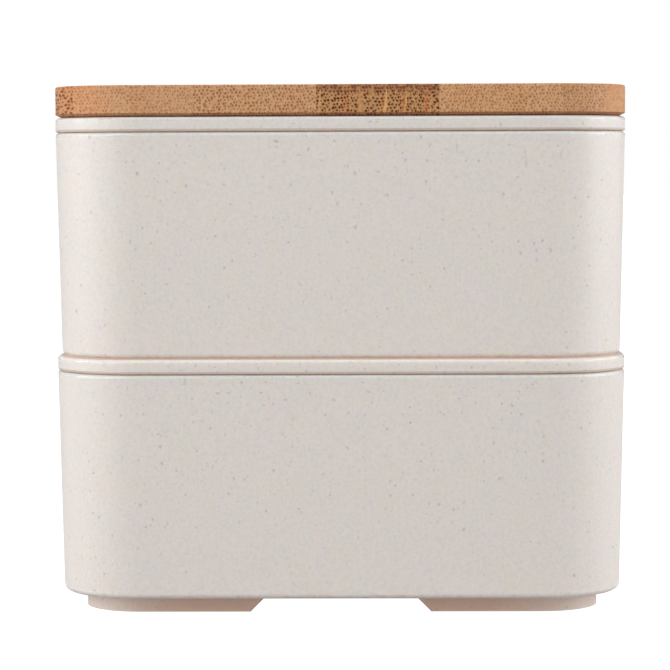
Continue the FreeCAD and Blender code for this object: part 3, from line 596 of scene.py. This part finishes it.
def dress_bamboo():
    tan, warm_tan, deep = linear(208, 161, 119), linear(210, 163, 119), linear(200, 148, 98)
    brown, dark = linear(116, 66, 30), linear(70, 30, 10)
    gold, amber = linear(222, 170, 112), linear(200, 112, 54)
    middle = (BOARD_LOW + BOARD_TOP) / 2
    staves = (
        dict(ground=linear(205, 150, 104), dots=linear(90, 36, 12), depth=0.9, halo=0.18, seed=2.0,
             across=0.7, up=0.66, dot=(0.21, 0.23), warmth=0.35, chamfer_shade=0.3),
        dict(ground=tan, dots=brown, depth=0.52, halo=0.14, seed=17.0, dot=(0.15, 0.18),
             knuckle=-38.0, chamfer_shade=0.32, patches=((-47.6, middle + 1.6, 4.4, 4.0, 0.22),)),
        dict(ground=warm_tan, dots=linear(100, 54, 22), depth=0.7, halo=0.2, seed=31.0,
             dot=(0.16, 0.2), knuckle=52.0),
        dict(ground=deep, dots=dark, depth=1.0, halo=0.2, seed=47.0, across=0.64, up=0.6,
             dot=(0.22, 0.23), knuckle=-12.0, skin=0.85,
             clear=((3.9, middle, 0.45, 2.6, 0.9), (6.3, BOARD_TOP - 1.2, 0.4, 1.2, 0.9)),
             rays=((8.6, 0.12, 0.3, gold, 0.7), (8.2, 0.12, 0.16, amber, 0.45),
                   (12.3, 0.16, 0.26, gold, 0.5), (12.0, 0.16, 0.2, amber, 0.65),
                   (16.0, 0.1, 0.2, amber, 0.6), (-3.5, 0.1, 0.26, gold, 0.5),
                   (1.4, 0.1, 0.26, amber, 0.4))),
        dict(ground=warm_tan, dots=brown, depth=0.62, halo=0.2, seed=59.0, dot=(0.15, 0.19),
             knuckle=30.0),
        dict(ground=linear(200, 153, 111), dots=brown, depth=0.6, halo=0.2, seed=71.0,
             dot=(0.15, 0.19), clear=((52.5, middle, 4.5, 5.0, 0.85),),
             patches=((51.5, middle, 4.0, 5.0, 0.12),)),
    )
    for number, looks in enumerate(staves, start=1):
        name = f"lid_stave_{number}"
        dress(name, bamboo(f"{name} bamboo", **looks))


dress_plastic()
dress_silicone()
dress_bamboo()


# ---------------------------------------------------------------- studio


AIM_DEPTH = 0.03  # how far behind the short side the softboxes aim
FLOOR_HALF_SIZE = 6.0
FLOOR_LEVEL = -0.00005  # a hair under the feet
FLOOR_SEEN, FLOOR_LIGHT = 0.985, 0.29  # brightness as seen, and as it lights the box
FLOOR_GREY = (0.32, 0.32, 0.32, 1.0)
SURROUND_SEEN, SURROUND_LIGHT = 1.0, 0.43
WHITE = (1.0, 1.0, 1.0, 1.0)
SOFTBOXES = (  # name, bearing, elevation, distance, size, power
    ("left softbox", -75.0, 12.0, 1.0, (0.8, 0.9), 6.1),
    ("left strip", -42.0, 20.0, 1.0, (0.2, 0.7), 1.9),
    ("glint strip", -31.0, 38.0, 1.0, (0.12, 0.5), 0.6),
    ("right softbox", 80.0, 12.0, 1.0, (0.6, 0.9), 5.5),
    ("right strip", 50.0, 30.0, 1.0, (0.12, 0.5), 0.5),
    ("rear softbox", 106.0, 12.0, 1.0, (0.8, 0.9), 2.6),
    ("overhead softbox", 10.0, 78.0, 1.1, (0.9, 0.9), 2.0),
)


def build_floor():
    half = FLOOR_HALF_SIZE
    corners = [(x * half, y * half, FLOOR_LEVEL) for x, y in ((-1, -1), (1, -1), (1, 1), (-1, 1))]
    mesh = bpy.data.meshes.new("studio floor")
    mesh.from_pydata(corners, [], [(0, 1, 2, 3)])
    floor = bpy.data.objects.new("studio_floor", mesh)
    bpy.context.scene.collection.objects.link(floor)
    material = bpy.data.materials.new("pale floor")
    material.use_nodes = True
    material.node_tree.nodes.clear()
    w = Wiring(material.node_tree)
    seen = w.node("ShaderNodeLightPath").outputs["Is Camera Ray"]
    glow = w.node("ShaderNodeEmission", {"Color": WHITE})
    w.feed(glow.inputs["Strength"], w.step(seen, 0.0, 1.0, FLOOR_LIGHT, FLOOR_SEEN))
    paint = w.node("ShaderNodeBsdfDiffuse", {"Color": FLOOR_GREY})
    both = w.node("ShaderNodeAddShader")
    w.feed(both.inputs[0], glow.outputs[0])
    w.feed(both.inputs[1], paint.outputs[0])
    surface = w.node("ShaderNodeOutputMaterial")
    w.feed(surface.inputs["Surface"], both.outputs[0])
    mesh.materials.append(material)


def build_world():
    world = bpy.data.worlds.new("studio surround")
    bpy.context.scene.world = world
    world.use_nodes = True
    world.node_tree.nodes.clear()
    w = Wiring(world.node_tree)
    seen = w.node("ShaderNodeLightPath").outputs["Is Camera Ray"]
    white = w.node("ShaderNodeBackground", {"Color": WHITE})
    w.feed(white.inputs["Strength"], w.step(seen, 0.0, 1.0, SURROUND_LIGHT, SURROUND_SEEN))
    surface = w.node("ShaderNodeOutputWorld")
    w.feed(surface.inputs["Surface"], white.outputs[0])


def add_softbox(name, bearing, elevation, distance, size, power):
    """A softbox aimed at the box. bearing is in degrees from the front, positive to the right."""
    light = bpy.data.lights.new(name, "AREA")
    light.shape = "RECTANGLE"
    light.size, light.size_y = size
    light.energy = power
    turn, lift = math.radians(bearing), math.radians(elevation)
    away = Vector((math.sin(turn) * math.cos(lift), -math.cos(turn) * math.cos(lift),
                   math.sin(lift)))
    target = Vector((0.0, LOW.y + AIM_DEPTH, HIGH.z / 2))
    softbox = bpy.data.objects.new(name, light)
    softbox.location = target + away * distance
    softbox.rotation_euler = away.to_track_quat("Z", "Y").to_euler()
    bpy.context.scene.collection.objects.link(softbox)


HEADING, TILT, ROLL = -0.016, 0.065, -0.004  # radians: to the right, down, and about the view
REACH = 0.49082  # from the camera to the point it turns about, seen from above
PIVOT_DEPTH = 0.00137  # how far behind the short side that point is
EYE_LEVEL = 0.08423
SENSOR_WIDTH, FOCAL_LENGTH = 36.0, 142.81  # millimetres
SIDE_SHIFT = -0.0068
NEAREST, FARTHEST = 0.01, 50.0


def build_camera():
    """A long lens near the lid's height, square on to the short side, a little to its right."""
    heading, tilt, roll = HEADING, TILT, ROLL
    forward = Vector((math.sin(heading) * math.cos(tilt), math.cos(heading) * math.cos(tilt),
                      -math.sin(tilt)))
    right = Vector((math.cos(heading), -math.sin(heading), 0.0))
    up = right.cross(forward)
    rolled_right = right * math.cos(roll) + up * math.sin(roll)
    rolled_up = up * math.cos(roll) - right * math.sin(roll)
    pivot_y = LOW.y + PIVOT_DEPTH
    spot = Vector((-REACH * math.sin(heading), pivot_y - REACH * math.cos(heading), EYE_LEVEL))
    camera = bpy.data.objects.new("camera", bpy.data.cameras.new("camera"))
    camera.matrix_world = Matrix((
        (rolled_right.x, rolled_up.x, -forward.x, spot.x),
        (rolled_right.y, rolled_up.y, -forward.y, spot.y),
        (rolled_right.z, rolled_up.z, -forward.z, spot.z),
        (0.0, 0.0, 0.0, 1.0),
    ))
    camera.data.sensor_width = SENSOR_WIDTH
    camera.data.lens = FOCAL_LENGTH
    camera.data.shift_x = SIDE_SHIFT
    camera.data.clip_start, camera.data.clip_end = NEAREST, FARTHEST
    bpy.context.scene.collection.objects.link(camera)
    bpy.context.scene.camera = camera


build_floor()
build_world()
for softbox in SOFTBOXES:
    add_softbox(*softbox)
build_camera()
bpy.context.scene.view_settings.view_transform = "Standard"
bpy.context.scene.view_settings.look = "None"
